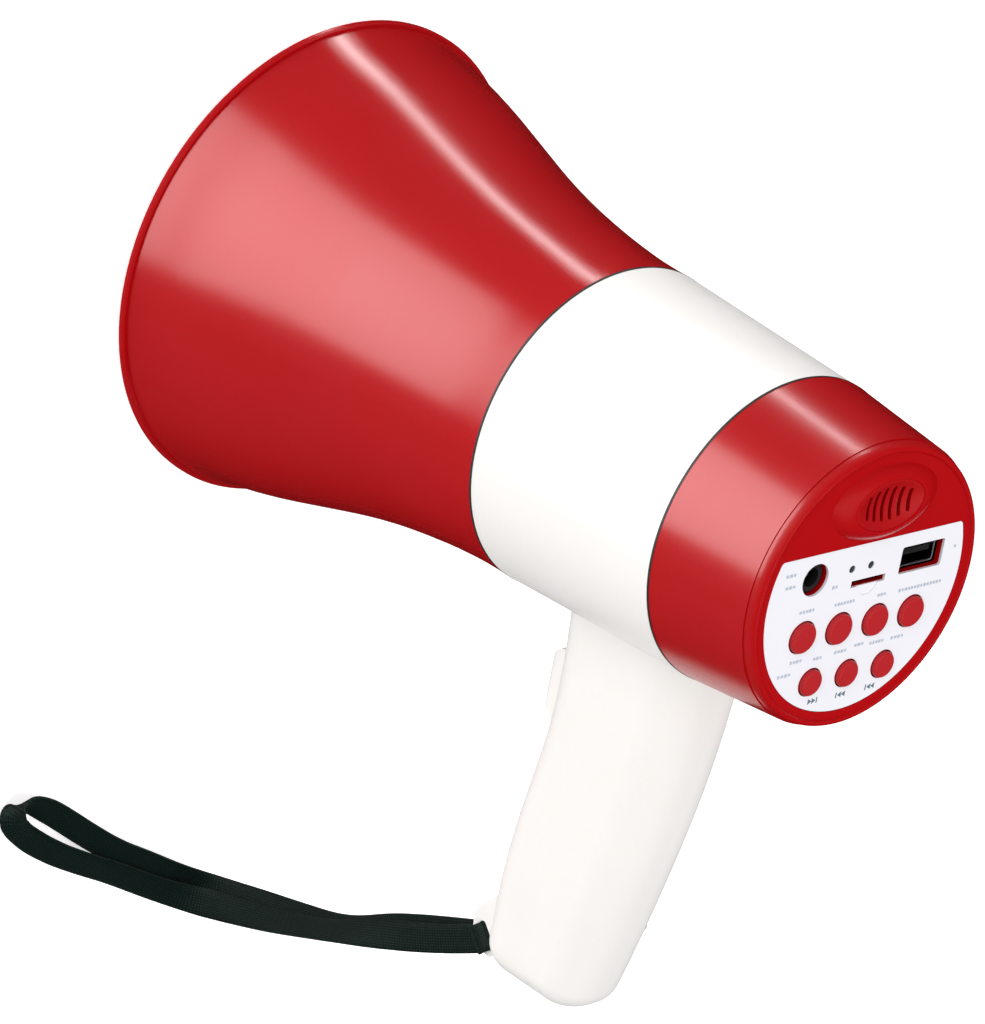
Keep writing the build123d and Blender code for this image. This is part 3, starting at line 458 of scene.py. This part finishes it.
# lines of small print as x, y and length, in millimetres, read from the panel's top edge down
PRINT_LINES = [
    (32.0, -9.4, 4.4), (31.4, -5.6, 4.4), (12.6, -2.2, 2.6), (-35.6, -6.4, 1.6),
    (22.3, 3.6, 6.4), (7.0, 3.8, 8.6), (-8.2, 4.0, 3.8), (-24.0, 4.2, 18.0),
    (22.6, 19.6, 5.2), (13.6, 20.2, 3.8), (4.4, 19.8, 5.4), (-3.0, 19.0, 4.2), (-10.4, 19.6, 6.2),
    (-18.8, 19.6, 5.6), (26.4, 23.4, 5.8),
]
# play, back and forward signs as x, y and the way the arrows point
PRINT_SIGNS = [(12.2, 34.2, 1), (0.2, 34.4, -1), (-11.8, 34.2, -1)]
# the strokes of small print: their pitch in millimetres, half their widths as shares of the pitch and
# half their heights in millimetres
STROKE_PITCH = 1.3
STROKE_WIDE, STROKE_NARROW = 0.36, 0.28
STROKE_TALL, STROKE_SHORT = 0.50, 0.42
# a sign's half height, the length and starts of its arrowheads and the reach of its bar, in millimetres
SIGN_HALF = 0.9
ARROW_LENGTH = 1.5
ARROW_STARTS = (-1.5, 0.1)
SIGN_BAR = (2.2, 1.8)


def ink(name, dark, light):
    """Printed ink: a matt coat with slightly uneven colour."""
    return moulded(name, dark, light, (0.5, 0.6), 3000.0, 0.1)


def flat_prism(shape, corners):
    """One printed mark: a thin prism over the corners, given in millimetres."""
    low = [shape.verts.new(Vector((x, y, PRINT_HEIGHT)) * MM) for x, y in corners]
    high = [shape.verts.new(Vector((x, y, PRINT_HEIGHT + PRINT_THICKNESS)) * MM) for x, y in corners]
    shape.faces.new(low)
    shape.faces.new(high)
    for index, corner in enumerate(low):
        following = (index + 1) % len(low)
        shape.faces.new((corner, low[following], high[following], high[index]))


def make_print(name, material, marks):
    """All the marks of one ink as one piece."""
    shape = bmesh.new()
    for corners in marks:
        flat_prism(shape, corners)
    bmesh.ops.recalc_face_normals(shape, faces=shape.faces)
    mesh = bpy.data.meshes.new(name)
    shape.to_mesh(mesh)
    shape.free()
    mesh.materials.append(material)
    piece = bpy.data.objects.new(name, mesh)
    bpy.context.scene.collection.objects.link(piece)
    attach(piece, "housing")


def print_line(x, y, length):
    """A line of small print as a row of short strokes, with none of them a letter."""
    strokes = []
    count = max(1, round(length / STROKE_PITCH))
    pitch = length / count
    for index in range(count):
        middle = x + (index + 0.5 - count / 2) * pitch
        half = pitch * (STROKE_WIDE if index % 3 else STROKE_NARROW)
        tall = STROKE_TALL if index % 2 else STROKE_SHORT
        left, right, low, high = middle - half, middle + half, y - tall, y + tall
        strokes.append([(left, low), (right, low), (right, high), (left, high)])
    return strokes


def print_sign(x, y, way):
    """Two arrowheads and a bar."""
    marks = []
    low, high = y - SIGN_HALF, y + SIGN_HALF
    for start in ARROW_STARTS:
        base = x + way * (start + ARROW_LENGTH)
        marks.append([(base, low), (base, high), (x + way * start, y)][::way])
    outer, inner = (x - way * reach for reach in SIGN_BAR)
    marks.append([(outer, low), (inner, low), (inner, high), (outer, high)][::way])
    return marks


lines = [stroke for line in PRINT_LINES for stroke in print_line(*line)]
signs = [mark for sign in PRINT_SIGNS for mark in print_sign(*sign)]
make_print("panel_print_lines", ink("print_grey", (0.42, 0.47, 0.56), (0.48, 0.53, 0.62)), lines)
make_print("panel_print_signs", ink("print_teal", (0.10, 0.17, 0.20), (0.14, 0.22, 0.26)), signs)


# ---------------------------------------------------------------- floor and light


FLOOR_SIZE = 12.0
FLOOR_DROP = 0.0002  # the floor is this far under the mouth, so that the two never share a plane
FLOOR_GLOW = 0.62


def make_floor():
    """A plain pale floor under everything, lit a little from inside like a light table."""
    material, nodes, links, shader = new_material("floor")
    shader.inputs["Base Color"].default_value = (0.93, 0.93, 0.93, 1.0)
    shader.inputs["Roughness"].default_value = 0.9
    shader.inputs["Emission Color"].default_value = (1.0, 1.0, 1.0, 1.0)
    shader.inputs["Emission Strength"].default_value = FLOOR_GLOW
    bpy.ops.mesh.primitive_plane_add(size=FLOOR_SIZE, location=(0, 0, -FLOOR_DROP))
    floor = bpy.context.object
    floor.name = "floor"
    floor.visible_glossy = False
    floor.data.materials.append(material)


def soft_light(name, place, aim, size, power, diffuse=True, gloss=True):
    """A rectangular soft light at a place, turned to a point."""
    data = bpy.data.lights.new(name, "AREA")
    data.shape = "RECTANGLE"
    data.size, data.size_y = size
    data.energy = power
    light = bpy.data.objects.new(name, data)
    light.location = place
    light.rotation_euler = (Vector(aim) - Vector(place)).to_track_quat("-Z", "Y").to_euler()
    light.visible_camera = False
    light.visible_diffuse = diffuse
    light.visible_glossy = gloss
    bpy.context.scene.collection.objects.link(light)


make_floor()
AIM = Vector((0, 0.05, 0.12))
soft_light("key", (1.25, -1.0, 0.75), AIM, (1.2, 1.0), 11.5, gloss=False)
soft_light("top", (-0.2, 0.2, 1.6), AIM, (1.2, 1.2), 14.0, gloss=False)
# low panels that only show as highlights on the glossy shell; the nested ones have soft edges together
SHINE_PLACE, SHINE_AIM = (0.36, -0.20, 0.015), (0.10, -0.06, 0.20)
SHINE_POWER = 2.7
for turn, share in enumerate((1.0, 0.78, 0.56, 0.36, 0.18)):
    size = (0.46 * share, 0.30 * share)
    power = SHINE_POWER * share**2
    soft_light(f"shine_{turn}", SHINE_PLACE, SHINE_AIM, size, power, diffuse=False)
soft_light(
    "streak", (-0.10, -0.26, 0.012), (-0.02, -0.06, 0.16), (0.016, 0.30), 0.38, diffuse=False
)

WORLD_GLOW = 0.50
world = bpy.data.worlds.new("studio")
world.use_nodes = True
background = world.node_tree.nodes["Background"]
background.inputs["Color"].default_value = (1.0, 1.0, 1.0, 1.0)
background.inputs["Strength"].default_value = WORLD_GLOW
bpy.context.scene.world = world
world.cycles_visibility.glossy = False
bpy.context.scene.view_settings.view_transform = "Standard"
